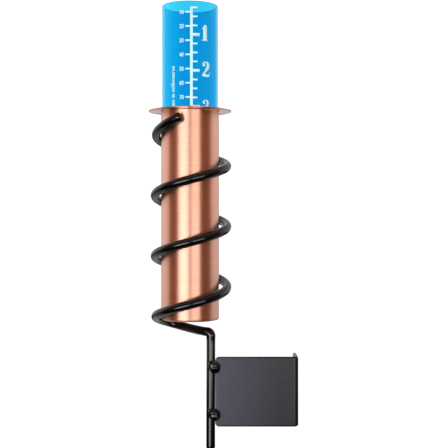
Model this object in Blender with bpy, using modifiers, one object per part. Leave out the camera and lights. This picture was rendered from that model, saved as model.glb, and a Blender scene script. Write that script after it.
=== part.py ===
# Floating-tube rain gauge in a spiral rod holder.
# Metres, +Z up. The origin is the centre of the bracket flange's outer face, the face that is
# screwed to a post. +X points into the post and -Y is the front of the gauge.
import math

import bmesh
import bpy
from mathutils import Vector

COLLECTION = "rain_gauge"
CUTTERS = "rain_gauge_cutters"

# Fits
GAP = 0.0003            # between pieces that touch
MERGE = 0.00005         # merge distance of every modifier that merges
ROUND_STEPS = 48        # facets round a turned piece

# Gauge axis and the heights that everything else follows
AXIS_X, AXIS_Y = -0.0787, -0.0120
BASE_Z = 0.0523         # underside of the reservoir
RIM_Z = 0.2038          # top of the reservoir's rim
READING = 0.0777        # how far the measuring tube has floated up, about 3 inches of rain

# Reservoir
RESERVOIR_R = 0.0210
RESERVOIR_WALL = 0.0004
BASE_DISC = 0.0008
BASE_CORNER_R = 0.0018
BASE_CUP_HEIGHT = 0.0040
RIM_R = 0.0302
RIM_THICKNESS = 0.0008

# Measuring tube, its float and the plug that holds the float in
TUBE_R = 0.0203
TUBE_WALL = 0.0014
TUBE_ZERO_DROP = 0.0020     # how far the sunk tube's top sits below the rim
PLUG_FLOOR_GAP = 0.0004     # between the sunk tube's plug and the reservoir's floor
PLUG_DISC = 0.0020
PLUG_CHAMFER = 0.0014
PLUG_RING_HEIGHT = 0.0060
PLUG_RING_WALL = 0.0016
PLUG_HOLES, PLUG_HOLE_R, PLUG_HOLE_CIRCLE_R = 4, 0.0022, 0.0105
FLOAT_HEIGHT = 0.0300
FUNNEL_DEPTH = 0.0040       # of the float's top, which sheds the rain into the drain
DRAIN_R = 0.0050

# Spiral rod
ROD_R = 0.0030
COIL_X = AXIS_X + 0.0007    # the reservoir stands a little left of the spiral's middle
COIL_R = 0.0263
COIL_PITCH = 0.0438
COIL_LEFT_Z = 0.1857        # height of the rod's axis where the first turn passes the left side
COIL_START_DEG = -104.5     # top end, front left of the reservoir
COIL_TIP_RISE = 0.0015      # how much the top quarter turn climbs above the helix
COIL_END_DEG = -1300.0      # where the last turn leaves the helix, at the back left
COIL_STEPS_PER_TURN = 24
STEM_X, STEM_Y = AXIS_X + 0.0152, AXIS_Y
STEM_TOP_Z = 0.0431         # height of the rod's axis where it turns down into the stem
STEM_END_Z = -0.0421
BEND_R = 0.0036
BEND_DIRECTION = (0.94, -0.30, -0.10)   # the way the strand under the base runs into the elbow
STRAND_PULLS = (1.15, 0.9)  # how far the strand keeps each end's direction, in its own lengths
BEND_PULL = 1.66            # the same for a near round quarter bend
STRAND_STEPS, BEND_STEPS = 12, 6
ROD_SIDES = 2               # bevel resolution of the rod's curve

# Bracket
PLATE_LEFT_X = STEM_X + ROD_R + GAP
PLATE_HEIGHT = 0.0508
PLATE_THICKNESS = 0.0025
PLATE_FRONT_Y = AXIS_Y - PLATE_THICKNESS / 2
PLATE_CORNER_R = 0.0028
FLANGE_BEND_R = 0.0035      # outside of the bend
BEND_FACETS = 6
SCREW_HOLE_R, SCREW_HEAD_R, SCREW_SPACING = 0.0024, 0.0042, 0.0320
SINK_PROUD = 0.0004         # how far the countersink's cutter stands out of the face

# Welds between the stem and the plate
WELD_SIZE = (0.0039, 0.0042, 0.0046)
WELD_CENTRE_Y = AXIS_Y - 0.0015
GUARD_SIZE = 0.02           # of the cutters that keep the beads off the plate and the rod
GUARD_HEIGHT = 0.2
WELD_HEIGHTS = {"weld_bead_upper": 0.0180, "weld_bead_lower": -0.0165}


def clear_scene():
    for old in list(bpy.data.objects):
        bpy.data.objects.remove(old, do_unlink=True)


def make_collection(name):
    made = bpy.data.collections.new(name)
    bpy.context.scene.collection.children.link(made)
    return made


def make_material(name, color, roughness, metallic=0.0, alpha=1.0):
    made = bpy.data.materials.new(name)
    made.use_nodes = True
    shader = made.node_tree.nodes["Principled BSDF"]
    shader.inputs["Base Color"].default_value = (*color, 1.0)
    shader.inputs["Roughness"].default_value = roughness
    shader.inputs["Metallic"].default_value = metallic
    shader.inputs["Alpha"].default_value = alpha
    return made


def add_object(name, data, collection, material=None):
    made = bpy.data.objects.new(name, data)
    collection.objects.link(made)
    if material:
        data.materials.append(material)
    return made


def smooth(obj, degrees=35.0):
    obj.data.shade_smooth()
    obj.data.set_sharp_from_angle(angle=math.radians(degrees))


def arc(center_r, center_z, radius, start_deg, end_deg, steps):
    """Points (r, z) along an arc of a turned profile."""
    points = []
    for i in range(steps + 1):
        angle = math.radians(start_deg + (end_deg - start_deg) * i / steps)
        points.append((center_r + radius * math.cos(angle), center_z + radius * math.sin(angle)))
    return points


def turned(name, profile, collection, material):
    """A closed profile of (radius, height) turned about Z. It runs down its outer side."""
    mesh = bpy.data.meshes.new(name)
    edges = [(i, (i + 1) % len(profile)) for i in range(len(profile))]
    mesh.from_pydata([(r, 0.0, z) for r, z in profile], edges, [])
    made = add_object(name, mesh, collection, material)
    screw = made.modifiers.new("turn", "SCREW")
    screw.axis = "Z"
    screw.steps = screw.render_steps = ROUND_STEPS
    screw.use_merge_vertices = True
    screw.merge_threshold = MERGE
    screw.use_normal_calculate = False
    return made


def ring_profile(outer_r, inner_r, bottom, top):
    return [(outer_r, top), (outer_r, bottom), (inner_r, bottom), (inner_r, top)]


def round_cutter(name, radii, depth, location, axis, collection, sides=24):
    """A cylinder or a cone along the axis: radii are its two ends'."""
    mesh = bpy.data.meshes.new(name)
    shape = bmesh.new()
    bmesh.ops.create_cone(shape, cap_ends=True, segments=sides,
                          radius1=radii[0], radius2=radii[1], depth=depth)
    shape.to_mesh(mesh)
    shape.free()
    return place_cutter(add_object(name, mesh, collection), location, axis)


def place_cutter(cutter, location, axis):
    cutter.location = location
    cutter.rotation_mode = "QUATERNION"
    cutter.rotation_quaternion = Vector(axis).to_track_quat("Z", "Y")
    cutter.hide_render = True
    cutter.display_type = "WIRE"
    return cutter


def cut(obj, cutter):
    difference = obj.modifiers.new("cut_" + cutter.name, "BOOLEAN")
    difference.operation = "DIFFERENCE"
    difference.solver = "EXACT"
    difference.object = cutter


def make_joint_empty(name, height, collection, parent=None):
    """An empty on the gauge axis that a moving body hangs from."""
    made = bpy.data.objects.new(name, None)
    made.empty_display_size = 0.02
    collection.objects.link(made)
    if parent:
        made.parent = parent
        made.location = (0.0, 0.0, height - BASE_Z)
    else:
        made.location = (AXIS_X, AXIS_Y, height)
    return made


# Reservoir: a thin metal tube, a dished base and a flat rim. Heights are from its underside.

def make_reservoir(collection, copper):
    lift = make_joint_empty("reservoir_origin", BASE_Z, collection)
    height = RIM_Z - BASE_Z
    pieces = [
        make_reservoir_tube(height, collection, copper),
        make_reservoir_base(collection, copper),
        make_rim_flange(height, collection, copper),
    ]
    for piece in pieces:
        piece.parent = lift
        smooth(piece)
    return lift


def make_reservoir_tube(height, collection, copper):
    """The straight wall, from the base cup up to just under the rim's lip."""
    top = height - RIM_THICKNESS - GAP
    bottom = BASE_CUP_HEIGHT + GAP
    profile = ring_profile(RESERVOIR_R, RESERVOIR_R - RESERVOIR_WALL, bottom, top)
    return turned("reservoir_tube", profile, collection, copper)


def make_reservoir_base(collection, copper):
    """A shallow cup with a rounded corner that closes the bottom of the tube."""
    inner_r = RESERVOIR_R - RESERVOIR_WALL
    inner_corner_r = BASE_CORNER_R - BASE_DISC
    corner = arc(RESERVOIR_R - BASE_CORNER_R, BASE_CORNER_R, BASE_CORNER_R, 0.0, -90.0, 4)
    profile = [(RESERVOIR_R, BASE_CUP_HEIGHT)] + corner
    profile += [(0.0, 0.0), (0.0, BASE_DISC), (inner_r - inner_corner_r, BASE_DISC)]
    profile += [(inner_r, BASE_DISC + inner_corner_r), (inner_r, BASE_CUP_HEIGHT)]
    return turned("reservoir_base", profile, collection, copper)


def make_rim_flange(height, collection, copper):
    """A flat brim with a rounded outer edge, open in the middle for the measuring tube."""
    edge_r = RIM_THICKNESS / 2
    inner_r = RESERVOIR_R - RESERVOIR_WALL
    profile = arc(RIM_R - edge_r, height - edge_r, edge_r, 90.0, -90.0, 6)
    profile += [(inner_r, height - RIM_THICKNESS), (inner_r, height)]
    return turned("rim_flange", profile, collection, copper)


# Measuring tube: it rises in the reservoir with its float. Heights are from the tube's foot.

def make_float_tube(parent, collection, cutters, materials):
    sunk_bottom = BASE_Z + BASE_DISC + PLUG_FLOOR_GAP
    bottom = sunk_bottom + READING
    rise = make_joint_empty("float_origin", bottom, collection, parent)
    length = RIM_Z - TUBE_ZERO_DROP - sunk_bottom
    pieces = [
        make_measuring_tube(length, collection, materials["blue"]),
        make_foam_float(collection, materials["foam"]),
        make_tube_plug(collection, cutters, materials["plug"], rise),
    ]
    for piece in pieces:
        piece.parent = rise
        smooth(piece)
    return rise


def make_measuring_tube(length, collection, blue):
    bottom = PLUG_DISC + GAP
    profile = ring_profile(TUBE_R, TUBE_R - TUBE_WALL, bottom, length)
    return turned("measuring_tube", profile, collection, blue)


def make_foam_float(collection, foam):
    """A closed-cell foam cylinder with a funnel top and a drain bore down its middle."""
    outer_r = TUBE_R - TUBE_WALL - GAP
    bottom = PLUG_DISC + PLUG_RING_HEIGHT + GAP
    top = bottom + FLOAT_HEIGHT
    profile = [(outer_r, top), (outer_r, bottom), (DRAIN_R, bottom), (DRAIN_R, top - FUNNEL_DEPTH)]
    return turned("foam_float", profile, collection, foam)


def make_tube_plug(collection, cutters, plastic, parent):
    """The plug in the tube's foot: a disc with drain holes and a ring that the float sits on."""
    ring_r = TUBE_R - TUBE_WALL - GAP
    profile = [(ring_r, PLUG_DISC + PLUG_RING_HEIGHT), (ring_r, PLUG_DISC), (TUBE_R, PLUG_DISC)]
    profile += [(TUBE_R, PLUG_CHAMFER), (TUBE_R - PLUG_CHAMFER, 0.0)]
    profile += [(DRAIN_R, 0.0), (DRAIN_R, PLUG_DISC), (ring_r - PLUG_RING_WALL, PLUG_DISC)]
    profile += [(ring_r - PLUG_RING_WALL, PLUG_DISC + PLUG_RING_HEIGHT)]
    plug = turned("tube_plug", profile, collection, plastic)
    for i in range(PLUG_HOLES):
        angle = math.radians(45.0 + 360.0 * i / PLUG_HOLES)
        spot = (PLUG_HOLE_CIRCLE_R * math.cos(angle), PLUG_HOLE_CIRCLE_R * math.sin(angle), PLUG_DISC / 2)
        radii = (PLUG_HOLE_R, PLUG_HOLE_R)
        cutter = round_cutter(f"plug_hole_{i}", radii, PLUG_DISC * 2, spot, (0, 0, 1), cutters, 12)
        cutter.parent = parent
        cut(plug, cutter)
    return plug


# Holder: one bent rod, an L-shaped bracket and two weld beads

def coil_point(degrees):
    angle = math.radians(degrees)
    tip = max(0.0, (degrees + 180.0) / (COIL_START_DEG + 180.0))
    height = COIL_LEFT_Z + COIL_PITCH * (degrees + 180.0) / 360.0 + COIL_TIP_RISE * tip ** 2
    return Vector((COIL_X + COIL_R * math.cos(angle), AXIS_Y + COIL_R * math.sin(angle), height))


def coil_direction(degrees):
    """The way the rod runs, down the helix."""
    angle = math.radians(degrees)
    climb = COIL_PITCH / (2 * math.pi)
    return Vector((COIL_R * math.sin(angle), -COIL_R * math.cos(angle), -climb)).normalized()


def hermite(start, end, start_pull, end_pull, steps):
    """Points after start, up to and with end, on a cubic that leaves and arrives along the pulls."""
    points = []
    for i in range(1, steps + 1):
        t = i / steps
        a, b = 2 * t**3 - 3 * t**2 + 1, -2 * t**3 + 3 * t**2
        c, d = t**3 - 2 * t**2 + t, t**3 - t**2
        points.append(a * start + b * end + c * start_pull + d * end_pull)
    return points


def rod_path():
    turns = (COIL_START_DEG - COIL_END_DEG) / 360.0
    steps = round(turns * COIL_STEPS_PER_TURN)
    spread = COIL_START_DEG - COIL_END_DEG
    points = [coil_point(COIL_START_DEG - spread * i / steps) for i in range(steps + 1)]
    # under the base, from the back left to the elbow
    leave = coil_direction(COIL_END_DEG)
    into = Vector(BEND_DIRECTION).normalized()
    bend_start = Vector((STEM_X, STEM_Y, STEM_TOP_Z)) - into * BEND_R
    reach = (bend_start - points[-1]).length
    pulls = [leave * reach * STRAND_PULLS[0], into * reach * STRAND_PULLS[1]]
    points += hermite(points[-1], bend_start, *pulls, STRAND_STEPS)
    # the elbow, then the straight stem
    bend_end = Vector((STEM_X, STEM_Y, STEM_TOP_Z - BEND_R))
    down = Vector((0.0, 0.0, -1.0))
    pull = BEND_R * BEND_PULL
    points += hermite(bend_start, bend_end, into * pull, down * pull, BEND_STEPS)
    points.append(Vector((STEM_X, STEM_Y, STEM_END_Z)))
    return points


def make_spiral_rod(collection, black):
    curve = bpy.data.curves.new("spiral_rod", "CURVE")
    curve.dimensions = "3D"
    curve.bevel_depth = ROD_R
    curve.bevel_resolution = ROD_SIDES
    curve.use_fill_caps = True
    path = rod_path()
    spline = curve.splines.new("POLY")
    spline.points.add(len(path) - 1)
    for point, place in zip(spline.points, path):
        point.co = (*place, 1.0)
    spline.use_smooth = True
    return add_object("spiral_rod", curve, collection, black)


def bracket_line():
    """The sheet's middle line seen from above: along the front, round the bend, back along the flange."""
    half = PLATE_THICKNESS / 2
    middle_r = FLANGE_BEND_R - half
    line = [(PLATE_LEFT_X, PLATE_FRONT_Y + half)]
    for i in range(BEND_FACETS + 1):
        angle = math.radians(-90.0 + 90.0 * i / BEND_FACETS)
        x = -half - middle_r + middle_r * math.cos(angle)
        y = PLATE_FRONT_Y + half + middle_r + middle_r * math.sin(angle)
        line.append((x, y))
    line.append((-half, -PLATE_FRONT_Y))
    return line


def make_bracket(collection, cutters, black):
    """A sheet bent to an L: the plate faces the front, the flange is screwed to the post."""
    line = bracket_line()
    half_h, count = PLATE_HEIGHT / 2, len(line)
    mesh = bpy.data.meshes.new("mounting_bracket")
    verts = [(x, y, z) for z in (-half_h, half_h) for x, y in line]
    mesh.from_pydata(verts, [], [(i, i + 1, i + 1 + count, i + count) for i in range(count - 1)])
    shape = bmesh.new()
    shape.from_mesh(mesh)
    corners = [v for v in shape.verts if v.co.x < PLATE_LEFT_X + GAP or v.co.y > -PLATE_FRONT_Y - GAP]
    bmesh.ops.bevel(shape, geom=corners, offset=PLATE_CORNER_R, offset_type="OFFSET", segments=4,
                    profile=0.5, affect="VERTICES")
    shape.to_mesh(mesh)
    shape.free()
    bracket = add_object("mounting_bracket", mesh, collection, black)
    shell = bracket.modifiers.new("sheet", "SOLIDIFY")
    shell.thickness = PLATE_THICKNESS
    shell.offset = 0.0
    shell.use_even_offset = True
    for level, height in (("upper", SCREW_SPACING / 2), ("lower", -SCREW_SPACING / 2)):
        drill_screw_hole(bracket, level, height, cutters)
    smooth(bracket)
    return bracket


def drill_screw_hole(bracket, level, height, cutters):
    """A clearance hole through the flange, countersunk on the side that the screw enters."""
    hole_depth = PLATE_THICKNESS * 4
    radii = (SCREW_HOLE_R, SCREW_HOLE_R)
    cut(bracket, round_cutter(f"screw_hole_{level}", radii, hole_depth, (0, 0, height), (1, 0, 0), cutters))
    sink_depth = SCREW_HEAD_R - SCREW_HOLE_R
    place = (-PLATE_THICKNESS + sink_depth / 2 - SINK_PROUD, 0, height)
    radii = (SCREW_HEAD_R, SCREW_HOLE_R)
    cut(bracket, round_cutter(f"screw_sink_{level}", radii, sink_depth, place, (1, 0, 0), cutters))


def make_weld_guards(cutters):
    """Cutters that stand a gap off the rod and off the plate, so that the beads don't cut into them."""
    radii = (ROD_R + GAP, ROD_R + GAP)
    centre = (STEM_X, STEM_Y, 0.0)
    rod_guard = round_cutter("weld_rod_guard", radii, GUARD_HEIGHT, centre, (0, 0, 1), cutters, 32)
    mesh = bpy.data.meshes.new("weld_plate_guard")
    shape = bmesh.new()
    bmesh.ops.create_cube(shape, size=1.0)
    bmesh.ops.scale(shape, vec=(GUARD_SIZE, GUARD_SIZE, GUARD_HEIGHT), verts=shape.verts)
    shape.to_mesh(mesh)
    shape.free()
    place = (STEM_X + GUARD_SIZE / 2, PLATE_FRONT_Y - GAP + GUARD_SIZE / 2, 0.0)
    plate_guard = place_cutter(add_object("weld_plate_guard", mesh, cutters), place, (0, 0, 1))
    return [rod_guard, plate_guard]


def make_weld(name, height, guards, collection, steel):
    """A bead on the front of the joint, a squashed ball cut back to the rod and the plate."""
    mesh = bpy.data.meshes.new(name)
    shape = bmesh.new()
    bmesh.ops.create_uvsphere(shape, u_segments=16, v_segments=10, radius=1.0)
    bmesh.ops.scale(shape, vec=WELD_SIZE, verts=shape.verts)
    shape.to_mesh(mesh)
    shape.free()
    bead = add_object(name, mesh, collection, steel)
    bead.location = (STEM_X + ROD_R, WELD_CENTRE_Y, height)
    for guard in guards:
        cut(bead, guard)
    smooth(bead)
    return bead


def main():
    clear_scene()
    collection = make_collection(COLLECTION)
    cutters = make_collection(CUTTERS)
    copper = make_material("copper", (0.72, 0.40, 0.25), 0.30, metallic=1.0)
    black = make_material("black_powder_coat", (0.015, 0.015, 0.018), 0.25)
    satin = make_material("satin_powder_coat", (0.05, 0.05, 0.06), 0.45)
    tube_materials = {
        "blue": make_material("blue_acrylic", (0.0, 0.36, 0.78), 0.05, alpha=0.5),
        "foam": make_material("white_foam", (0.85, 0.86, 0.84), 0.9),
        "plug": make_material("plug_plastic", (0.55, 0.60, 0.63), 0.4),
    }
    lift = make_reservoir(collection, copper)
    make_float_tube(lift, collection, cutters, tube_materials)
    make_spiral_rod(collection, black)
    make_bracket(collection, cutters, satin)
    guards = make_weld_guards(cutters)
    for name, height in WELD_HEIGHTS.items():
        make_weld(name, height, guards, collection, black)


main()
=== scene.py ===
import math

import bpy
import bmesh
import numpy as np
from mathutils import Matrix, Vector


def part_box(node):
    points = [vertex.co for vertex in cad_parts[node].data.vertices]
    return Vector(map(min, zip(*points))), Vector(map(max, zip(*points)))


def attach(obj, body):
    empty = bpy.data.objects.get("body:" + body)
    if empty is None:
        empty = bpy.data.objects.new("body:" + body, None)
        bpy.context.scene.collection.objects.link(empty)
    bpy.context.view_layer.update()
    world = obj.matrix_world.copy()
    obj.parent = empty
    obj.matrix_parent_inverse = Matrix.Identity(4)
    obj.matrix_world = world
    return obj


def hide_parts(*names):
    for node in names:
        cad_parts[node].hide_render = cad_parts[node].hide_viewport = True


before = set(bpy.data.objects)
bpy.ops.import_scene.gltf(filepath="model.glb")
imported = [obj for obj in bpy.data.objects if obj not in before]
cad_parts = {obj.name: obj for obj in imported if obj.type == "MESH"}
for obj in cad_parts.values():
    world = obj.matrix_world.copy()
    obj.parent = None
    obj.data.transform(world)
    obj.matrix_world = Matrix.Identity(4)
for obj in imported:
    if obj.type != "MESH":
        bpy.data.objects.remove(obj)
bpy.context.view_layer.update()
print("frame loaded:", len(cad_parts), "nodes")

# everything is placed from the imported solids' boxes, round the gauge axis at axisX, axisY
tubeLow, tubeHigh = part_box("reservoir_tube")
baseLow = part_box("reservoir_base")[0]
rimLow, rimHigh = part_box("rim_flange")
scaleLow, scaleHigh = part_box("measuring_tube")
floatLow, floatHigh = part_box("foam_float")
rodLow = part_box("spiral_rod")[0]
plateLow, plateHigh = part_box("mounting_bracket")
axisX = (tubeLow.x + tubeHigh.x) / 2
axisY = (tubeLow.y + tubeHigh.y) / 2
scaleRadius = (scaleHigh.x - scaleLow.x) / 2


# Neighbouring points of a (u, v) grid make one quad each. A closed way joins its last row to its first.
def gridFaces(countU, countV, closeU=False, closeV=False):
    u = np.arange(countU if closeU else countU - 1)[:, None]
    v = np.arange(countV if closeV else countV - 1)[None, :]
    row, nextRow = u * countV, (u + 1) % countU * countV
    nextV = (v + 1) % countV
    corners = np.broadcast_arrays(row + v, nextRow + v, nextRow + nextV, row + nextV)
    return np.stack(corners, -1).reshape(-1, 4)


# A mesh from whole arrays. Doubles at poles and seams are merged, and the faces turned outwards.
# brushPath, one vector for each point, is kept as an attribute for the brushed finish.
def makePiece(name, points, faces, material, smoothAngle=35, brushPath=None, outwards=True):
    mesh = bpy.data.meshes.new(name)
    mesh.from_pydata(np.asarray(points).reshape(-1, 3).tolist(), [], [list(face) for face in faces])
    if brushPath is not None:
        layer = mesh.attributes.new("brushPath", "FLOAT_VECTOR", "POINT")
        layer.data.foreach_set("vector", np.asarray(brushPath, dtype=np.float32).ravel())
    work = bmesh.new()
    work.from_mesh(mesh)
    if outwards:
        bmesh.ops.remove_doubles(work, verts=work.verts, dist=1e-6)
        bmesh.ops.dissolve_degenerate(work, edges=work.edges, dist=1e-7)
        bmesh.ops.recalc_face_normals(work, faces=work.faces)
    work.to_mesh(mesh)
    work.free()
    mesh.materials.append(material)
    mesh.shade_smooth()
    mesh.set_sharp_from_angle(angle=math.radians(smoothAngle))
    piece = bpy.data.objects.new(name, mesh)
    bpy.context.scene.collection.objects.link(piece)
    return piece


# What the piece looks like with its modifiers becomes its own mesh, and the modifiers go.
def applyModifiers(piece):
    bpy.context.view_layer.update()
    evaluated = piece.evaluated_get(bpy.context.evaluated_depsgraph_get())
    mesh = bpy.data.meshes.new_from_object(evaluated)
    piece.modifiers.clear()
    piece.data = mesh


# The piece moves with the body and takes the place of the nodes, which are hidden.
def standFor(piece, body, slot, *nodes):
    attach(piece, body)
    if nodes:
        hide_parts(*nodes)


# Each corner of a closed (r, z) outline becomes an arc with its own radius, with a point just past
# each end of the arc, which keeps the flat beside it flat when it is shaded.
def roundCorners(profile, radii, steps=6, support=0.0002):
    out = []
    for i, radius in enumerate(radii):
        corner = np.array(profile[i], float)
        if radius <= 0:
            out.append(corner)
            continue
        a = np.array(profile[i - 1], float) - corner
        b = np.array(profile[(i + 1) % len(profile)], float) - corner
        roomA, roomB = np.linalg.norm(a), np.linalg.norm(b)
        a, b = a / roomA, b / roomB
        half = math.acos(np.clip(np.dot(a, b), -1, 1)) / 2
        back = radius / math.tan(half)
        start, end = corner + a * back, corner + b * back
        middle = corner + (a + b) / np.linalg.norm(a + b) * (radius / math.sin(half))
        first = math.atan2(*(start - middle)[::-1])
        sweep = math.atan2(*(end - middle)[::-1]) - first
        sweep = (sweep + math.pi) % (2 * math.pi) - math.pi
        angles = first + sweep * np.linspace(0, 1, steps + 1)
        arc = middle + radius * np.stack([np.cos(angles), np.sin(angles)], -1)
        if roomA > 3 * (back + support):
            out.append(start + a * support)
        out += list(arc)
        if roomB > 3 * (back + support):
            out.append(end + b * support)
    return np.array(out)


# A closed outline of (r, z) turned about the gauge axis: x = r cos t, y = r sin t.
# brushPath goes round with the angle and grows with the distance run along the outline.
def lathe(name, outline, material, sides=192, smoothAngle=35):
    r, z = outline.T
    t = np.linspace(0, 2 * np.pi, sides, endpoint=False)[:, None]
    flat = np.zeros_like(t)
    points = np.stack([axisX + r * np.cos(t), axisY + r * np.sin(t), z + flat], -1)
    run = np.concatenate([[0], np.cumsum(np.hypot(np.diff(r), np.diff(z)))])
    around = tubeHigh.x - axisX
    brush = np.stack(np.broadcast_arrays(around * np.cos(t), around * np.sin(t), run + flat), -1)
    faces = gridFaces(sides, len(r), True, True)
    return makePiece(name, points, faces, material, smoothAngle, brush)


# A round bar carried along a path: point + radius (cos a side + sin a up), where up is the reference
# direction less its part along the path. Radius is one value for each point of the path.
def sweepRound(name, path, radius, reference, material, sides=32):
    along = np.gradient(path, axis=0)
    along /= np.linalg.norm(along, axis=1, keepdims=True)
    up = reference - along * np.sum(reference * along, axis=1, keepdims=True)
    up /= np.linalg.norm(up, axis=1, keepdims=True)
    side = np.cross(along, up)
    a = np.linspace(0, 2 * np.pi, sides, endpoint=False)[None, :, None]
    points = path[:, None] + radius[:, None, None] * (np.cos(a) * side[:, None] + np.sin(a) * up[:, None])
    return makePiece(name, points, gridFaces(len(path), sides, False, True), material, 50)


# 0 below low, 1 above high, and 3 t^2 - 2 t^3 in between.
def smoothStep(low, high, value):
    t = np.clip((value - low) / (high - low), 0, 1)
    return t * t * (3 - 2 * t)


# A material with short words for adding and joining its nodes.
class Finish:
    def __init__(self, name):
        self.material = bpy.data.materials.new(name)
        self.material.use_nodes = True
        self.tree = self.material.node_tree
        self.shader = self.tree.nodes["Principled BSDF"]
        self.coords = self.add("ShaderNodeTexCoord").outputs["Object"]

    def add(self, kind, **inputs):
        node = self.tree.nodes.new(kind)
        for key, value in inputs.items():
            self.put(node.inputs[key.replace("_", " ")], value)
        return node

    def put(self, socket, value):
        if isinstance(value, bpy.types.NodeSocket):
            self.tree.links.new(value, socket)
        else:
            socket.default_value = value

    def set(self, **inputs):
        for key, value in inputs.items():
            self.put(self.shader.inputs[key.replace("_", " ")], value)

    def noise(self, stretch, detail=2.0, coords=None):
        place = self.add("ShaderNodeMapping", Vector=coords or self.coords, Scale=stretch).outputs[0]
        return self.add("ShaderNodeTexNoise", Vector=place, Scale=1.0, Detail=detail).outputs["Fac"]

    def ramp(self, value, *stops):
        node = self.add("ShaderNodeValToRGB", Fac=value)
        elements = node.color_ramp.elements
        while len(elements) < len(stops):
            elements.new(0.5)
        for element, (place, color) in zip(elements, stops):
            element.position = place
            element.color = (*(color if isinstance(color, tuple) else (color,) * 3), 1.0)
        return node.outputs["Color"]

    def math(self, operation, a, b=0.0):
        node = self.tree.nodes.new("ShaderNodeMath")
        node.operation = operation
        self.put(node.inputs[0], a)
        self.put(node.inputs[1], b)
        return node.outputs[0]

    def bump(self, height, strength, distance):
        node = self.add("ShaderNodeBump", Height=height, Strength=strength, Distance=distance)
        self.put(self.shader.inputs["Normal"], node.outputs[0])


copperLook = {
    "color": (0.90, 0.500, 0.365), "warmer": (0.88, 0.450, 0.310),
    "brushed": (0.36, 0.42), "spun": (0.16, 0.20), "stretched": 0.80,    # roughness of sheet and brim
    "brushLines": (40, 40, 5200), "streaks": (12, 12, 700), "clouds": (28, 28, 28),
    "streakShare": 0.7, "brushDepth": 0.00001,
}


# Lacquered sheet brushed round the gauge: fine scratches run along brushPath's round direction.
def copperFinish(name, roughness):
    look = copperLook
    f = Finish(name)
    path = f.add("ShaderNodeAttribute")
    path.attribute_name = "brushPath"
    lines = f.noise(look["brushLines"], 3.0, path.outputs["Vector"])
    streaks = f.noise(look["streaks"], 3.0, path.outputs["Vector"])
    clouds = f.noise(look["clouds"], 2.0)
    share = look["streakShare"]
    tone = f.math("ADD", f.math("MULTIPLY", streaks, share), f.math("MULTIPLY", clouds, 1 - share))
    f.set(Base_Color=f.ramp(tone, (0.35, look["warmer"]), (0.62, look["color"])), Metallic=1.0)
    f.set(Roughness=f.ramp(lines, (0.3, roughness[0]), (0.7, roughness[1])))
    f.set(Anisotropic=look["stretched"], Anisotropic_Rotation=0.25)
    tangent = f.add("ShaderNodeTangent")
    tangent.direction_type = "RADIAL"
    tangent.axis = "Z"
    f.set(Tangent=tangent.outputs[0])
    f.bump(lines, 0.25, look["brushDepth"])
    return f.material


coatLook = {
    "color": (0.0010, 0.0010, 0.0013), "thin": (0.0022, 0.0022, 0.0026),
    "roughness": (0.09, 0.117), "peel": (420, 420, 420), "peelDepth": 0.00002,
}


# Gloss black powder coat: a faint orange peel, a little thinner and greyer on the peaks.
def rodFinish():
    look = coatLook
    f = Finish("glossPowderCoat")
    peel = f.noise(look["peel"], 2.0)
    f.set(Base_Color=f.ramp(peel, (0.45, look["color"]), (0.75, look["thin"])))
    f.set(Roughness=f.ramp(peel, (0.3, look["roughness"][0]), (0.7, look["roughness"][1])))
    f.bump(peel, 0.5, look["peelDepth"])
    return f.material


plateLook = {
    # the first two colours are painted light and painted shade, the two ends of the painted gradient
    # across the plate
    "paintedLightNearStem": (0.036, 0.036, 0.056), "far": (0.0030, 0.0022, 0.0075), "fadeLength": 0.046,
    "clouds": (45, 45, 45), "cloudShare": 0.25,
    "roughness": (0.25, 0.30), "gloss": 0.37, "grain": (2600, 2600, 2600), "grainDepth": 0.00003,
}


# Satin powder coat with a fine grain. Its base colour is painted light: lighter and bluer towards the
# stem and darker away from it, a painted reflection gradient with random clouds in it.
def plateFinish():
    look = plateLook
    f = Finish("satinPowderCoat")
    grain = f.noise(look["grain"], 3.0)
    clouds = f.noise(look["clouds"], 3.0)
    # painted light: the base colour fades along X from the lighter near-stem colour to the darker far one
    across = f.add("ShaderNodeSeparateXYZ", Vector=f.coords).outputs["X"]
    paintedLightFade = f.math("DIVIDE", f.math("SUBTRACT", across, plateLow.x), look["fadeLength"])
    uneven = f.math("MULTIPLY", f.math("SUBTRACT", clouds, 0.5), look["cloudShare"])
    paintedLightFade = f.math("ADD", paintedLightFade, uneven)
    f.set(Base_Color=f.ramp(paintedLightFade, (0.0, look["paintedLightNearStem"]), (1.0, look["far"])))
    f.set(Roughness=f.ramp(grain, (0.3, look["roughness"][0]), (0.7, look["roughness"][1])))
    f.set(Specular_IOR_Level=look["gloss"])
    f.bump(grain, 0.4, look["grainDepth"])
    return f.material


acrylicLook = {
    # left, middle and right are painted light: a lighter painted band on the tube's left side
    "left": (0.045, 0.610, 0.855), "middle": (0.030, 0.500, 0.780), "right": (0.035, 0.520, 0.775),
    "roughness": 0.02, "gloss": 0.04, "ior": 1.20,
    "drawn": (90, 90, 8), "drawnShare": 0.10, "drawnDepth": 0.00005,
}


# Clear blue acrylic, drawn lengthwise. Its tint is painted light: lighter on the left side and darker
# towards the middle and right across X, broken up by the drawn streaks. Each wall tints once.
def acrylicFinish():
    look = acrylicLook
    f = Finish("blueAcrylic")
    drawn = f.noise(look["drawn"], 1.0)
    across = f.add("ShaderNodeSeparateXYZ", Vector=f.coords).outputs["X"]
    place = f.math("DIVIDE", f.math("SUBTRACT", across, axisX - scaleRadius), 2 * scaleRadius)
    uneven = f.math("MULTIPLY", f.math("SUBTRACT", drawn, 0.5), look["drawnShare"])
    place = f.math("ADD", place, uneven)
    # painted light: the tint ramps across X from the lighter left to the darker middle and right
    f.set(Base_Color=f.ramp(place, (0.12, look["left"]), (0.42, look["middle"]), (0.85, look["right"])))
    f.set(Transmission_Weight=1.0, IOR=look["ior"])
    f.set(Roughness=look["roughness"], Specular_IOR_Level=look["gloss"])
    f.bump(drawn, 0.1, look["drawnDepth"])
    return f.material


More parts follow.
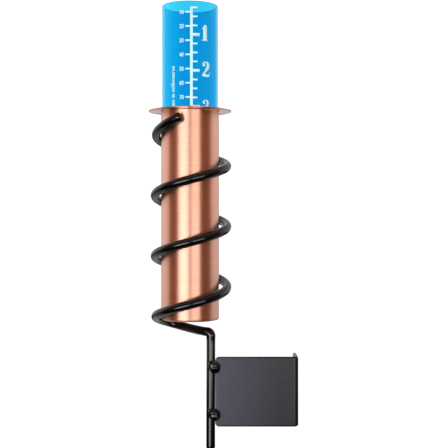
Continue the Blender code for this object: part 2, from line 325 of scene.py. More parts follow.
inkLook = {
    # both colours are tinted cyan as painted light, the blue glow through the tube
    "color": (0.64, 0.93, 0.97), "thin": (0.52, 0.85, 0.93), "roughness": 0.45,
    "speck": (3000, 3000, 3000),
}


# White screen ink, a little thin in specks. Its colour is tinted cyan as painted light: the blue glow
# through the tube behind it.
def inkFinish():
    look = inkLook
    f = Finish("whiteInk")
    speck = f.noise(look["speck"], 2.0)
    f.set(Base_Color=f.ramp(speck, (0.35, look["thin"]), (0.5, look["color"])))
    f.set(Roughness=look["roughness"])
    return f.material


foamLook = {
    "color": (0.90, 0.91, 0.89), "cell": (0.70, 0.72, 0.71), "roughness": 0.9,
    "cells": 900.0, "cellDepth": 0.0002,
}


# Closed-cell foam: a pale skin of small cells.
def foamFinish():
    look = foamLook
    f = Finish("closedCellFoam")
    cells = f.add("ShaderNodeTexVoronoi", Vector=f.coords, Scale=look["cells"]).outputs["Distance"]
    f.set(Base_Color=f.ramp(cells, (0.0, look["cell"]), (0.5, look["color"])))
    f.set(Roughness=look["roughness"])
    f.bump(cells, 0.6, look["cellDepth"])
    return f.material


plugLook = {
    "color": (0.44, 0.49, 0.53), "light": (0.52, 0.57, 0.60), "roughness": 0.45,
    "clouds": (300, 300, 300), "cloudDepth": 0.00003,
}


# Satin moulded plastic with faint clouds from the mould.
def plugFinish():
    look = plugLook
    f = Finish("plugPlastic")
    clouds = f.noise(look["clouds"], 2.0)
    f.set(Base_Color=f.ramp(clouds, (0.3, look["color"]), (0.7, look["light"])))
    f.set(Roughness=look["roughness"])
    f.bump(clouds, 0.3, look["cloudDepth"])
    return f.material


copper = copperFinish("brushedCopper", copperLook["brushed"])
spunCopper = copperFinish("spunCopper", copperLook["spun"])
rodCoat, plateCoat = rodFinish(), plateFinish()
acrylic, ink, foam, plugPlastic = acrylicFinish(), inkFinish(), foamFinish(), plugFinish()
print("finishes made")


reservoir = {"wall": 0.0004, "floor": 0.0008, "cornerRadius": 0.0018, "intoBrim": 0.0001}


# One thin wall from the rounded base up to the brim, as a closed outline turned about the axis.
def makeReservoir():
    outer = tubeHigh.x - axisX
    inner = outer - reservoir["wall"]
    bottom, top = baseLow.z, rimLow.z + reservoir["intoBrim"]
    floor = bottom + reservoir["floor"]
    corner = reservoir["cornerRadius"]
    profile = [(outer, top), (outer, bottom), (1e-7, bottom), (1e-7, floor), (inner, floor), (inner, top)]
    outline = roundCorners(profile, [0, corner, 0, 0, corner - reservoir["floor"], 0], 10)
    piece = lathe("reservoirBody", outline, copper)
    standFor(piece, "reservoir", "copper", "reservoir_tube", "reservoir_base")


brim = {"edge": 0.00038, "lip": 0.0002, "fillet": 0.0003, "filletRound": 0.00015}


# A flat ring with a rounded outer edge, and a thin fillet of solder where it meets the wall.
def makeBrim():
    outer, wall = rimHigh.x - axisX, tubeHigh.x - axisX
    inner = wall - reservoir["wall"]
    low, high, fillet = rimLow.z, rimHigh.z, brim["fillet"]
    profile = [(outer, high), (outer, low), (wall + fillet, low), (wall, low - fillet),
               (inner, low - fillet), (inner, high)]
    radii = [brim["edge"], brim["edge"], brim["filletRound"], 0, 0, brim["lip"]]
    outline = roundCorners(profile, radii, 6)
    piece = lathe("rimRing", outline, spunCopper)
    standFor(piece, "reservoir", "copper", "rim_flange")


makeReservoir()
makeBrim()
print("reservoir made")


tube = {"wall": 0.0014, "lip": 0.0006}


# A straight wall with a polished round lip at both ends.
def makeTube():
    inner = scaleRadius - tube["wall"]
    low, high = scaleLow.z, scaleHigh.z
    profile = [(scaleRadius, high), (scaleRadius, low), (inner, low), (inner, high)]
    outline = roundCorners(profile, [tube["lip"]] * 4, 6)
    standFor(lathe("measuringTube", outline, acrylic), "float_tube", "blue_acrylic", "measuring_tube")


floatShape = {"funnel": 0.0040, "bore": 0.0050, "edges": (0.0012, 0.0012, 0.0008, 0.0010)}


# A foam cylinder whose top slopes down as a funnel to a bore down its middle.
def makeFloat():
    outer, bore = floatHigh.x - axisX, floatShape["bore"]
    low, high = floatLow.z, floatHigh.z
    profile = [(outer, high), (outer, low), (bore, low), (bore, high - floatShape["funnel"])]
    outline = roundCorners(profile, floatShape["edges"], 6)
    standFor(lathe("foamFloat", outline, foam), "float_tube", "foam", "foam_float")


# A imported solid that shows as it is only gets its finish.
def dressNode(name, material):
    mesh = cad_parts[name].data
    mesh.materials.clear()
    mesh.materials.append(material)


makeTube()
makeFloat()
dressNode("tube_plug", plugPlastic)
print("measuring tube made")


# Arc positions run to the right from the front of the tube, and readings run down it from its top.
inch, tenMillimetres = 0.0254, 0.010
scalePrint = {
    "millimetreZero": 0.0018, "inchZero": 0.00135,    # above the tube's top
    "lineLeft": 0.0007, "lineRight": 0.0026, "inches": 5, "tens": 12, "joinOverlap": 0.0001,
    "tickLeft": -0.0027, "tickHeight": 0.0012, "tickRight": 0.0060, "quarterHeight": 0.0013,
    "inchRight": 0.0076, "inchHeight": 0.0021,
    "digitRight": -0.0039, "digitHeight": 0.0029, "digitBold": 0.035, "digitWidth": (0.78, 0.585),
    "numeralLeft": 0.0093, "numeralHeight": 0.0108,
    "numeralLift": (0.0014, 0.0013, -0.0003, 0.0006, 0.0006),
    "caption": "rain in millimetres",
    "captionRight": -0.0109, "captionHeight": 0.0030, "captionTop": 0.0460, "captionBold": 0.02,
    "capitalShare": 0.73, "firstCut": 0.0004, "cutSpacing": 0.0006, "barSpacing": 0.0005,
    "lift": 0.00003, "thickness": 0.00006, "overlapStep": 0.000004,
}

# Strokes of the big numerals, (across, up, half width) in numeral heights. A single point is a ball.
numeralStrokes = {
    1: [[(0.25, 0.0, 0.14), (0.25, 0.5, 0.14), (0.25, 0.88, 0.14), (0.30, 1.0, 0.10)],
        [(0.33, 0.99, 0.05), (0.22, 0.88, 0.08), (0.11, 0.81, 0.06), (0.0, 0.775, 0.014)],
        [(0.02, 0.035, 0.035), (0.22, 0.035, 0.035), (0.44, 0.035, 0.035)]],
    2: [[(0.15, 0.775, 0.100)],
        [(0.070, 0.80, 0.03), (0.12, 0.91, 0.04), (0.26, 0.965, 0.038), (0.42, 0.915, 0.075),
         (0.50, 0.76, 0.125), (0.44, 0.58, 0.115), (0.29, 0.38, 0.065), (0.14, 0.22, 0.045),
         (0.06, 0.10, 0.04)],
        [(0.03, 0.08, 0.04), (0.14, 0.11, 0.095), (0.32, 0.09, 0.09), (0.48, 0.08, 0.080),
         (0.57, 0.16, 0.045), (0.61, 0.30, 0.015)]],
    3: [[(0.15, 0.80, 0.085)], [(0.14, 0.20, 0.09)],
        [(0.08, 0.83, 0.02), (0.14, 0.93, 0.03), (0.27, 0.975, 0.028), (0.40, 0.92, 0.06),
         (0.455, 0.78, 0.10), (0.39, 0.62, 0.07), (0.22, 0.53, 0.022)],
        [(0.20, 0.53, 0.022), (0.39, 0.47, 0.06), (0.48, 0.28, 0.115), (0.40, 0.09, 0.075),
         (0.25, 0.025, 0.028), (0.12, 0.07, 0.03), (0.065, 0.17, 0.02)]],
    4: [[(0.42, 0.0, 0.11), (0.42, 0.5, 0.11), (0.42, 0.99, 0.11)],
        [(0.36, 0.97, 0.035), (0.05, 0.27, 0.035)],
        [(0.02, 0.27, 0.04), (0.64, 0.27, 0.04)], [(0.22, 0.03, 0.03), (0.62, 0.03, 0.03)]],
    5: [[(0.14, 0.21, 0.09)], [(0.10, 0.96, 0.03), (0.09, 0.75, 0.028), (0.08, 0.52, 0.03)],
        [(0.09, 0.94, 0.035), (0.30, 0.93, 0.065), (0.53, 0.96, 0.03)],
        [(0.07, 0.52, 0.03), (0.23, 0.60, 0.04), (0.40, 0.54, 0.08), (0.48, 0.31, 0.115),
         (0.40, 0.09, 0.075), (0.25, 0.025, 0.028), (0.12, 0.07, 0.03), (0.065, 0.18, 0.02)]],
}


# A filled rectangle in (arc, height), in columns narrow enough to follow the tube.
def bar(left, right, low, high):
    columns = max(2, math.ceil((right - left) / scalePrint["barSpacing"]) + 1)
    a, z = np.meshgrid(np.linspace(left, right, columns), [low, high], indexing="ij")
    return np.stack([a, z], -1).reshape(-1, 2), gridFaces(columns, 2)


# A smooth line through the stroke's points (each stretch a cubic with the neighbours' slopes), with
# its width laid off to both sides along the line's normal.
def ribbon(stroke, steps=10, columns=5):
    p = np.array(stroke)
    slope = np.gradient(p, axis=0)
    t = np.linspace(0, 1, steps, endpoint=False)[None, :, None]
    leave, arrive = (t**3 - 2*t**2 + t) * slope[:-1, None], (t**3 - t**2) * slope[1:, None]
    line = (2*t**3 - 3*t**2 + 1) * p[:-1, None] + (3*t**2 - 2*t**3) * p[1:, None] + leave + arrive
    line = np.concatenate([line.reshape(-1, 3), p[-1:]])
    along = np.gradient(line[:, :2], axis=0)
    along /= np.linalg.norm(along, axis=1, keepdims=True)
    normal = np.stack([along[:, 1], -along[:, 0]], -1)
    across = np.linspace(-1, 1, columns)[None, :, None]
    points = line[:, None, :2] + across * line[:, None, 2:] * normal[:, None]
    return points.reshape(-1, 2), gridFaces(len(line), columns)[:, ::-1]


# A disc as rings about its middle: middle + r (cos t, sin t), with one face for the innermost ring.
def ball(across, up, radius, rings=4, sides=28):
    r = np.linspace(0, radius, rings + 1)[1:, None]
    t = np.linspace(0, 2 * np.pi, sides, endpoint=False)[None, :]
    points = np.stack([across + r * np.cos(t), up + r * np.sin(t)], -1).reshape(-1, 2)
    return points, gridFaces(rings, sides, False, True).tolist() + [list(range(sides))]


# Letters in the stock font as a flat mesh, cut both ways into cells small enough to follow the tube.
def lettering(words, height, bold, width=1.0):
    curve = bpy.data.curves.new("words", "FONT")
    curve.body = words
    curve.size = height / scalePrint["capitalShare"]
    curve.offset = bold * height
    curve.resolution_u = 4
    holder = bpy.data.objects.new("words", curve)
    bpy.context.scene.collection.objects.link(holder)
    bpy.context.view_layer.update()
    mesh = bpy.data.meshes.new_from_object(holder.evaluated_get(bpy.context.evaluated_depsgraph_get()))
    bpy.data.objects.remove(holder)
    work = bmesh.new()
    work.from_mesh(mesh)
    bmesh.ops.scale(work, vec=(width, 1, 1), verts=work.verts)
    for axis, normal in enumerate((Vector((1, 0, 0)), Vector((0, 1, 0)))):
        reach = [v.co[axis] for v in work.verts]
        for place in np.arange(min(reach) + scalePrint["firstCut"], max(reach), scalePrint["cutSpacing"]):
            geometry = work.verts[:] + work.edges[:] + work.faces[:]
            bmesh.ops.bisect_plane(work, geom=geometry, plane_co=normal * place, plane_no=normal)
    work.verts.ensure_lookup_table()
    points = np.array([v.co[:2] for v in work.verts])
    faces = [[v.index for v in face.verts] for face in work.faces]
    work.free()
    return points, faces


# Flat (arc, height) parts wrapped on the tube: x = R sin(arc / R), y = -R cos(arc / R). Each part lies
# a hair above the last, so that crossing strokes never share a surface, and then gets its thickness.
def printOnTube(name, parts):
    points, faces, count = [], [], 0
    for index, (flat, polygons) in enumerate(parts):
        radius = scaleRadius + scalePrint["lift"] + index % 8 * scalePrint["overlapStep"]
        turn = flat[:, 0] / scaleRadius
        x, y = axisX + radius * np.sin(turn), axisY - radius * np.cos(turn)
        points.append(np.stack([x, y, flat[:, 1]], -1))
        faces += [[int(corner) + count for corner in polygon] for polygon in polygons]
        count += len(flat)
    piece = makePiece(name, np.concatenate(points), faces, ink, 40, outwards=False)
    skin = piece.modifiers.new("ink", "SOLIDIFY")
    skin.thickness = scalePrint["thickness"]
    skin.offset = 1.0
    applyModifiers(piece)
    standFor(piece, "float_tube", "white_ink")


# One upright line with a tick to the right each quarter inch and one to the left each ten millimetres.
def makeScaleLines():
    p = scalePrint
    inchTop, millimetreTop = scaleHigh.z + p["inchZero"], scaleHigh.z + p["millimetreZero"]
    lineTop = inchTop - inch / 4 + p["quarterHeight"] / 2
    lineFoot = inchTop - p["inches"] * inch - p["inchHeight"] / 2
    parts = [bar(p["lineLeft"], p["lineRight"], lineFoot, lineTop)]
    for quarter in range(1, 4 * p["inches"] + 1):
        size = "inch" if quarter % 4 == 0 else "quarter"
        middle, half = inchTop - quarter * inch / 4, p[size + "Height"] / 2
        right = p["inchRight"] if size == "inch" else p["tickRight"]
        parts.append(bar(p["lineRight"] - p["joinOverlap"], right, middle - half, middle + half))
    for ten in range(1, p["tens"] + 1):
        middle, half = millimetreTop - ten * tenMillimetres, p["tickHeight"] / 2
        parts.append(bar(p["tickLeft"], p["lineLeft"] + p["joinOverlap"], middle - half, middle + half))
    printOnTube("scaleLines", parts)


# The inch numerals, each beside its tick, from the strokes above.
def makeNumerals():
    p = scalePrint
    for numeral, strokes in numeralStrokes.items():
        middle = scaleHigh.z + p["inchZero"] - numeral * inch + p["numeralLift"][numeral - 1]
        low = middle - p["numeralHeight"] / 2
        parts = []
        for stroke in strokes:
            flat, faces = ball(*stroke[0]) if len(stroke) == 1 else ribbon(stroke)
            parts.append((np.array([p["numeralLeft"], low]) + flat * p["numeralHeight"], faces))
        printOnTube(f"inchNumeral{numeral}", parts)


# The millimetres, ending at one line to the left of the ticks. Three digits are set narrower than two.
def makeMillimetreDigits():
    p = scalePrint
    parts = []
    for ten in range(1, p["tens"] + 1):
        width = p["digitWidth"][ten >= 10]
        flat, faces = lettering(str(ten * 10), p["digitHeight"], p["digitBold"], width)
        middle = (flat.max(0) + flat.min(0)) / 2
        height = scaleHigh.z + p["millimetreZero"] - ten * tenMillimetres
        place = np.array([p["digitRight"] - flat[:, 0].max(), height - middle[1]])
        parts.append((flat + place, faces))
    printOnTube("millimetreDigits", parts)


# The words run up the tube: across is turned to up, and up to the left.
def makeCaption():
    p = scalePrint
    flat, faces = lettering(p["caption"], p["captionHeight"], p["captionBold"])
    turned = np.stack([-flat[:, 1], flat[:, 0]], -1)
    place = np.array([p["captionRight"], scaleHigh.z - p["captionTop"] - turned[:, 1].max()])
    printOnTube("unitWords", [(turned + place, faces)])


makeScaleLines()
makeNumerals()
makeMillimetreDigits()
makeCaption()
print("scale printed")


rod = {
    "radius": 0.00322, "coilRight": 0.0007, "coilRadius": 0.02612, "pitch": 0.0438,
    "leftHeight": 0.1334, "startDegrees": -103.6, "endDegrees": -1300.0,    # 0 is to the right
    "tipRise": 0.0024, "tipTight": 0.0008, "tipTurn": (-300, -170),
    "footTight": 0.0005, "footTurn": (1130, 1260),
    "stemRight": 0.0151, "stemLean": -0.0002, "stemTop": -0.0092,
    "strandPulls": (1.15, 0.9), "intoElbow": (0.94, -0.30, -0.10),
    "elbowRadius": 0.0029, "elbowPull": 1.66,
    "cutEdge": 0.0020, "endSwell": 0.05, "endSwellLength": 0.0038,
    "elbowSwell": 0.11, "swellReach": 0.0034,
}


# A cubic from start to end that leaves and arrives along the pulls, without its first point.
def cubic(start, end, startPull, endPull, steps):
    t = np.linspace(0, 1, steps + 1)[1:, None]
    bend = (t**3 - 2*t**2 + t) * startPull + (t**3 - t**2) * endPull
    return (2*t**3 - 3*t**2 + 1) * start + (3*t**2 - 2*t**3) * end + bend


# The rod's middle line: a helix (x and y on a circle, z falling with the angle, wound a little tighter
# at both ends and climbing a little more at its tip), a cubic under the base, a near round elbow and a
# straight stem.
def rodPath():
    coilX = axisX + rod["coilRight"]
    d = np.linspace(rod["startDegrees"], rod["endDegrees"], 480)
    a = np.radians(d)
    tip = np.clip((d + 180) / (rod["startDegrees"] + 180), 0, None)
    z = baseLow.z + rod["leftHeight"] + rod["pitch"] * (d + 180) / 360 + rod["tipRise"] * tip**2
    atTip, atFoot = smoothStep(*rod["tipTurn"], d), smoothStep(*rod["footTurn"], -d)
    r = rod["coilRadius"] - rod["tipTight"] * atTip - rod["footTight"] * atFoot
    coil = np.stack([coilX + r * np.cos(a), axisY + r * np.sin(a), z], -1)
    fall = rod["pitch"] / (2 * np.pi * rod["coilRadius"])
    leave = np.array([math.sin(a[-1]), -math.cos(a[-1]), -fall])
    leave /= np.linalg.norm(leave)
    into = np.array(rod["intoElbow"]) / np.linalg.norm(rod["intoElbow"])
    corner = np.array([axisX + rod["stemRight"], axisY, baseLow.z + rod["stemTop"]])
    elbow = corner - into * rod["elbowRadius"]
    reach = np.linalg.norm(elbow - coil[-1])
    pulls = leave * reach * rod["strandPulls"][0], into * reach * rod["strandPulls"][1]
    strand = cubic(coil[-1], elbow, *pulls, 70)
    down = np.array([0, 0, -1.0])
    pull = rod["elbowRadius"] * rod["elbowPull"]
    stemStart = corner + down * rod["elbowRadius"]
    turn = cubic(elbow, stemStart, into * pull, down * pull, 24)
    stemEnd = np.array([corner[0] + rod["stemLean"], corner[1], rodLow.z])
    stem = stemStart + np.linspace(0, 1, 40)[1:, None] * (stemEnd - stemStart)
    return np.concatenate([coil, strand, turn, stem]), corner


# The swept bar keeps its radius, swells a little at its tip and at the elbow where it was bent cold,
# and closes over a rounded edge at both cut ends:
# radius = full - edge + sqrt(edge^2 - (edge - distance)^2).
def makeRod():
    path, corner = rodPath()
    edge, full = rod["cutEdge"], rod["radius"]
    places = path[0], path[-1], corner
    fromTip, fromFoot, fromElbow = (np.linalg.norm(path - place, axis=1) for place in places)
    between = (fromTip > edge * 1.5) & (fromFoot > edge * 1.5)
    inwards = edge * (1 - np.cos(np.linspace(0, np.pi / 2, 7)))
    steps = np.concatenate([[1e-7], inwards + 2e-7])
    first, last = path[1] - path[0], path[-2] - path[-1]
    head = path[0] + steps[:, None] * first / np.linalg.norm(first)
    tail = path[-1] + steps[::-1, None] * last / np.linalg.norm(last)
    line = np.concatenate([head, path[between], tail])
    endRadius = np.concatenate([[1e-7], full - edge + np.sqrt(edge**2 - (edge - inwards)**2)])
    headRadius = endRadius + full * rod["endSwell"] * (endRadius > full / 10)    # the closing point stays
    swell = rod["elbowSwell"] * np.exp(-(fromElbow / rod["swellReach"])**2)
    swell += rod["endSwell"] * smoothStep(1.15, 0.85, fromTip / rod["endSwellLength"])
    radius = np.concatenate([headRadius, full * (1 + swell[between]), endRadius[::-1]])
    # the reference direction turns from up to level as the rod turns down into the stem
    along = np.gradient(line, axis=0)
    along /= np.linalg.norm(along, axis=1, keepdims=True)
    level = np.array([rod["intoElbow"][0], rod["intoElbow"][1], 0])
    turned = smoothStep(0.3, 1.0, -along[:, 2:])
    reference = (1 - turned) * np.array([0, 0, 1.0]) + turned * level
    piece = sweepRound("spiralRod", line, radius, reference, rodCoat)
    standFor(piece, "holder", "black_coat", "spiral_rod")


makeRod()
print("spiral rod made")


bracket = {
    "thickness": 0.0025, "cornerRadius": 0.0028, "edgeRadius": 0.0012, "bendRadius": 0.0035,
    "holeRadius": 0.0024, "sinkRadius": 0.0042, "holeSpacing": 0.0320, "sinkProud": 0.0004,
    "support": 0.0002, "drillReach": 0.01,
}


# The sheet is worked out flat and then bent. Flat, its section is a slot shape as tall as the sheet:
# height = straight part + corner arc, and each edge is rounded by a ball rolled along it. Bent, a point
# goes along the plate, then round the bend by (distance / middle radius), then back along the flange.
def makeBracket():
    b = bracket
    t, edge, corner, support = b["thickness"], b["edgeRadius"], b["cornerRadius"], b["support"]
    middle = b["bendRadius"] - t / 2
    left = axisX + rod["stemRight"] + rod["radius"]
    plateLength = plateHigh.x - b["bendRadius"] - left
    bendEnd = plateLength + middle * np.pi / 2
    length = bendEnd + plateHigh.y - plateLow.y - b["bendRadius"]
    # distances along the sheet: a rounded edge, the plate, the bend, the flange and a rounded edge, with
    # each flat starting and ending a support away from the curve beside it
    rolling = edge * (1 - np.cos(np.linspace(0, np.pi / 2, 8)))
    rounded = np.concatenate([rolling, np.linspace(edge, corner, 7)[1:]])
    flatPlate = np.linspace(corner + support, plateLength - support, 26)
    bend = np.linspace(plateLength, bendEnd, 17)
    flatFlange = np.linspace(bendEnd + support, length - corner - support, 14)
    s = np.concatenate([rounded, flatPlate, bend, flatFlange, length - rounded[::-1]])
    fromEnd = np.minimum(s, length - s)
    inCorner = np.clip(corner - fromEnd, 0, None)
    tall = (plateHigh.z - plateLow.z) / 2 - corner + np.sqrt(corner**2 - inCorner**2)
    rolled = np.sqrt(np.clip(edge**2 - np.clip(edge - fromEnd, 0, None)**2, 1e-14, None))
    # round the section: up the front, over the top, down the back, under the bottom
    rise = np.concatenate([[-1, -0.992], np.linspace(-0.94, 0.94, 15), [0.992, 1]])
    over = np.linspace(0, np.pi, 17)
    flat, full = np.ones_like(rise), np.ones_like(over)
    split = np.where(over <= np.pi / 2, 1.0, -1.0)
    coreZ = np.concatenate([rise, full, -rise, -full])
    coreT = np.concatenate([flat, split, -flat, -split])
    ballZ = np.concatenate([0 * flat, np.sin(over), 0 * flat, -np.sin(over)])
    ballT = np.concatenate([flat, np.cos(over), -flat, -np.cos(over)])
    z = coreZ * (tall - rolled)[:, None] + ballZ * rolled[:, None]
    across = coreT * (t / 2 - edge) + ballT * rolled[:, None]
    # both ends close on the sheet's middle line
    s = np.concatenate([s[:1], s, s[-1:]])[:, None]
    z = np.concatenate([z[:1], z, z[-1:]])
    across = np.concatenate([across[:1] * 0, across, across[-1:] * 0])
    turn = np.clip((s - plateLength) / middle, 0, np.pi / 2) - np.pi / 2
    x = left + np.minimum(s, plateLength) + (middle + across) * np.cos(turn)
    y = plateLow.y + b["bendRadius"] + (middle + across) * np.sin(turn) + np.clip(s - bendEnd, 0, None)
    middleZ = (plateHigh.z + plateLow.z) / 2
    points = np.stack([x, y, z + middleZ], -1)
    piece = makePiece("bracketPlate", points, gridFaces(*z.shape, False, True), plateCoat, 30)
    drills = [drill(piece, middleZ + side * b["holeSpacing"] / 2) for side in (-1, 1)]
    applyModifiers(piece)
    for cutter in drills:
        bpy.data.objects.remove(cutter)
    piece.data.set_sharp_from_angle(angle=math.radians(30))
    standFor(piece, "holder", "plate_coat", "mounting_bracket")


# A drill turned about the hole's axis: a cylinder that opens to a cone on the side the screw enters.
def drill(piece, height):
    b = bracket
    inner = plateHigh.x - b["thickness"]
    wide, narrow, reach = b["sinkRadius"], b["holeRadius"], b["drillReach"]
    cone = wide - narrow - b["sinkProud"]
    x = np.array([-reach, -b["sinkProud"], cone, reach, reach, -reach]) + inner
    r = np.array([wide, wide, narrow, narrow, 1e-7, 1e-7])
    a = np.linspace(0, 2 * np.pi, 64, endpoint=False)[:, None]
    y = (plateHigh.y + plateLow.y) / 2 + r * np.cos(a)
    points = np.stack([x + 0 * a, y, height + r * np.sin(a)], -1)
    cutter = makePiece("drill", points, gridFaces(64, 6, True, True), plateCoat)
    cut = piece.modifiers.new("drill", "BOOLEAN")
    cut.operation = "DIFFERENCE"
    cut.solver = "EXACT"
    cut.object = cutter
    return cutter


weld = {
    "forward": 0.0015, "size": 1.0185, "lean": 0.22, "sag": 0.16, "ripples": 0.035, "rippleCount": 3.0,
    "lobe": (-0.80, -0.30, 0.85), "lobeHeight": 0.42, "lobeSharpness": 4.0,
}


# A drop of weld: a ball stretched to its solid's box, leaned towards the rod, sagging a little, with
# ripples and a second smaller lobe: radius = 1 + ripple cos(count height) + lobe exp(sharp (cos - 1)).
def makeWeld(name, node, phase):
    low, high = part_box(node)
    x, y = axisX + rod["stemRight"] + rod["radius"], axisY - weld["forward"]
    centre = np.array([x, y, (low.z + high.z) / 2])
    size = np.array([high.x - centre[0], centre[1] - low.y, high.z - centre[2]]) * weld["size"]
    t = np.linspace(0, np.pi, 49)[:, None]
    p = np.linspace(0, 2 * np.pi, 72, endpoint=False)
    d = np.stack(np.broadcast_arrays(np.sin(t) * np.cos(p), np.sin(t) * np.sin(p), np.cos(t)), -1)
    swell = 1 + weld["ripples"] * np.cos(weld["rippleCount"] * np.pi * d[..., 2] + phase) * np.sin(t)
    swell += weld["lean"] * smoothStep(0.2, 1.0, -d[..., 0])
    swell -= weld["sag"] * smoothStep(0.3, 1.0, d[..., 2])
    lobe = np.array(weld["lobe"]) / np.linalg.norm(weld["lobe"])
    swell += weld["lobeHeight"] * np.exp(weld["lobeSharpness"] * (d @ lobe - 1))
    points = centre + d * size * swell[..., None]
    bead = makePiece(name, points, gridFaces(len(t), len(p), False, True), rodCoat, 60)
    standFor(bead, "holder", "black_coat", node)


makeBracket()
makeWeld("upperWeld", "weld_bead_upper", 0.8)
makeWeld("lowerWeld", "weld_bead_lower", 2.1)
print("bracket and welds made")


frontView = {"distance": 0.705, "right": 0.0246, "height": 0.0694, "lens": 78.03, "sensor": 36.0}


# Level with the middle of the reservoir, looking straight along +Y.
def makeCamera():
    data = bpy.data.cameras.new("frontCamera")
    data.lens = frontView["lens"]
    data.sensor_width = frontView["sensor"]
    camera = bpy.data.objects.new("frontCamera", data)
    bpy.context.scene.collection.objects.link(camera)
    x, y = axisX + frontView["right"], axisY - frontView["distance"]
    camera.location = (x, y, baseLow.z + frontView["height"])
    camera.rotation_euler = (math.pi / 2, 0, 0)
    bpy.context.scene.camera = camera


stage = {
    "flat": 0.5, "radius": 2.6, "bend": 0.9, "wall": 3.2, "under": 0.0003,
    "glow": 0.84, "color": (0.40, 0.41, 0.43), "roughness": 0.9,
}


# A pale floor that curves up into a wall all round: a line, a quarter circle and a line, turned.
# It is only the background: the metal mirrors the studio's own lights instead.
def makeStage():
    turn = np.radians(np.linspace(-90, 0, 17))
    radius, bend = stage["radius"], stage["bend"]
    r = np.concatenate([[1e-6, stage["flat"]], radius + bend * np.cos(turn), [radius + bend]])
    z = np.concatenate([[0, 0], bend * (1 + np.sin(turn)), [stage["wall"]]]) + rodLow.z - stage["under"]
    a = np.linspace(0, 2 * np.pi, 96, endpoint=False)[:, None]
    points = np.stack([axisX + r * np.cos(a), axisY + r * np.sin(a), z + 0 * a], -1)
    f = Finish("paleStage")
    f.set(Base_Color=(*stage["color"], 1), Roughness=stage["roughness"])
    f.set(Emission_Color=(1, 1, 1, 1), Emission_Strength=stage["glow"])
    floor = makePiece("stageFloor", points, gridFaces(96, len(r), True, False), f.material, 60)
    floor.visible_glossy = floor.visible_diffuse = floor.visible_shadow = False


# Azimuths in degrees from the front, + to the right; heights are sines of the elevation.
studio = {
    "softboxes": [
        {"from": -43, "to": -4.5, "soft": 10, "low": -0.30, "high": 0.08, "light": (5.8, 5.85, 6.1)},
        {"from": 6, "to": 40, "soft": 4, "low": -0.16, "high": 0.09, "light": (5.5, 5.4, 5.3)},
    ],
    "softboxEdge": 0.05,
    "walls": [
        (-180, (0.74, 0.74, 0.76)), (-155, (0.63, 0.63, 0.65)), (-130, (1.1, 1.1, 1.15)),
        (-97, (1.0, 0.97, 1.0)), (-84, (0.35, 0.127, 0.044)), (-62, (0.35, 0.127, 0.044)),
        (-50, (0.24, 0.12, 0.07)), (0, (0.22, 0.18, 0.16)), (50, (0.22, 0.10, 0.06)),
        (62, (0.305, 0.108, 0.034)), (86, (0.305, 0.108, 0.034)), (99, (0.88, 0.85, 0.88)),
        (130, (0.92, 0.92, 0.96)), (155, (0.60, 0.60, 0.62)), (180, (0.74, 0.74, 0.76)),
    ],
    "ground": [
        (-180, (0.55, 0.55, 0.56)), (-115, (0.55, 0.55, 0.56)), (-85, (0.02, 0.018, 0.018)),
        (85, (0.02, 0.018, 0.018)), (115, (0.55, 0.55, 0.56)), (180, (0.55, 0.55, 0.56)),
    ],
    "skirting": (0.008, 0.007, 0.007), "skirtingTop": (-0.19, -0.11), "skirtingFoot": (-0.40, -0.30),
    "ceiling": (0.42, 0.42, 0.44), "ceilingFrom": (0.45, 0.85),
}


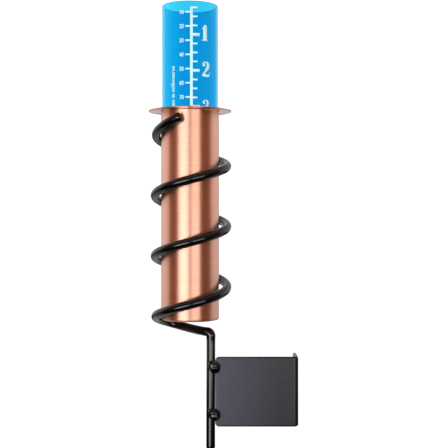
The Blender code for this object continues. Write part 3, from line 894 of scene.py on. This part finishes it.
# The light that comes from each direction: walls by azimuth, with a dark skirting low down, the ground
# below and the ceiling above, plus the softboxes as windows with soft edges.
def makeStudio():
    world = bpy.data.worlds.new("studio")
    bpy.context.scene.world = world
    world.use_nodes = True
    tree = world.node_tree

    def node(kind, operation=None, *inputs):
        made = tree.nodes.new(kind)
        if operation:
            made.operation = operation
        for socket, value in zip(made.inputs, inputs):
            if isinstance(value, bpy.types.NodeSocket):
                tree.links.new(value, socket)
            else:
                socket.default_value = value
        return made

    def rising(value, low, high):
        step = node("ShaderNodeMapRange", None, value, low, high, 0.0, 1.0)
        step.interpolation_type = "SMOOTHSTEP"
        return step.outputs[0]

    def falling(value, low, high):
        return node("ShaderNodeMath", "SUBTRACT", 1.0, rising(value, low, high)).outputs[0]

    def window(value, low, high, soft):
        start, end = rising(value, low - soft, low + soft), falling(value, high - soft, high + soft)
        return node("ShaderNodeMath", "MULTIPLY", start, end).outputs[0]

    def blend(first, second, factor):
        return node("ShaderNodeMixRGB", None, factor, first, second).outputs[0]

    def around(azimuth, stops):
        turn = node("ShaderNodeMapRange", None, azimuth, -180.0, 180.0, 0.0, 1.0).outputs[0]
        ramp = node("ShaderNodeValToRGB", None, turn)
        elements = ramp.color_ramp.elements
        while len(elements) < len(stops):
            elements.new(0.5)
        for element, (degrees, color) in zip(elements, stops):
            element.position = (degrees + 180) / 360
            element.color = (*color, 1.0)
        return ramp.outputs["Color"]

    x, y, z = node("ShaderNodeSeparateXYZ", None, node("ShaderNodeTexCoord").outputs["Generated"]).outputs
    front = node("ShaderNodeMath", "MULTIPLY", y, -1.0).outputs[0]
    angle = node("ShaderNodeMath", "ARCTAN2", x, front).outputs[0]
    azimuth = node("ShaderNodeMath", "DEGREES", angle).outputs[0]
    light = around(azimuth, studio["walls"])
    light = blend(light, (*studio["skirting"], 1.0), falling(z, *studio["skirtingTop"]))
    light = blend(light, around(azimuth, studio["ground"]), falling(z, *studio["skirtingFoot"]))
    light = blend(light, (*studio["ceiling"], 1.0), rising(z, *studio["ceilingFrom"]))
    for box in studio["softboxes"]:
        wide = window(azimuth, box["from"], box["to"], box["soft"])
        tall = window(z, box["low"], box["high"], studio["softboxEdge"])
        shape = node("ShaderNodeMath", "MULTIPLY", wide, tall).outputs[0]
        glow = node("ShaderNodeVectorMath", "MULTIPLY", box["light"], shape).outputs[0]
        light = node("ShaderNodeVectorMath", "ADD", light, glow).outputs[0]
    tree.links.new(light, tree.nodes["Background"].inputs["Color"])


fillLight = {
    "towards": 0.12, "away": (-0.28, -0.95, 0.45),    # aimed this far up the gauge, from this far off
    "size": 0.8, "power": 6.0, "color": (0.90, 0.97, 1.0),
}


# A broad soft light from the front left that only lights: nothing mirrors it.
def makeFill():
    data = bpy.data.lights.new("fill", "AREA")
    data.size = fillLight["size"]
    data.energy = fillLight["power"]
    data.color = fillLight["color"]
    fill = bpy.data.objects.new("fill", data)
    bpy.context.scene.collection.objects.link(fill)
    away = Vector(fillLight["away"])
    fill.location = Vector((axisX, axisY, baseLow.z + fillLight["towards"])) + away
    fill.rotation_euler = (-away).to_track_quat("-Z", "Y").to_euler()
    fill.visible_camera = fill.visible_glossy = fill.visible_transmission = False


makeCamera()
makeStage()
makeStudio()
makeFill()
bpy.context.scene.view_settings.view_transform = "Standard"
print("studio made")
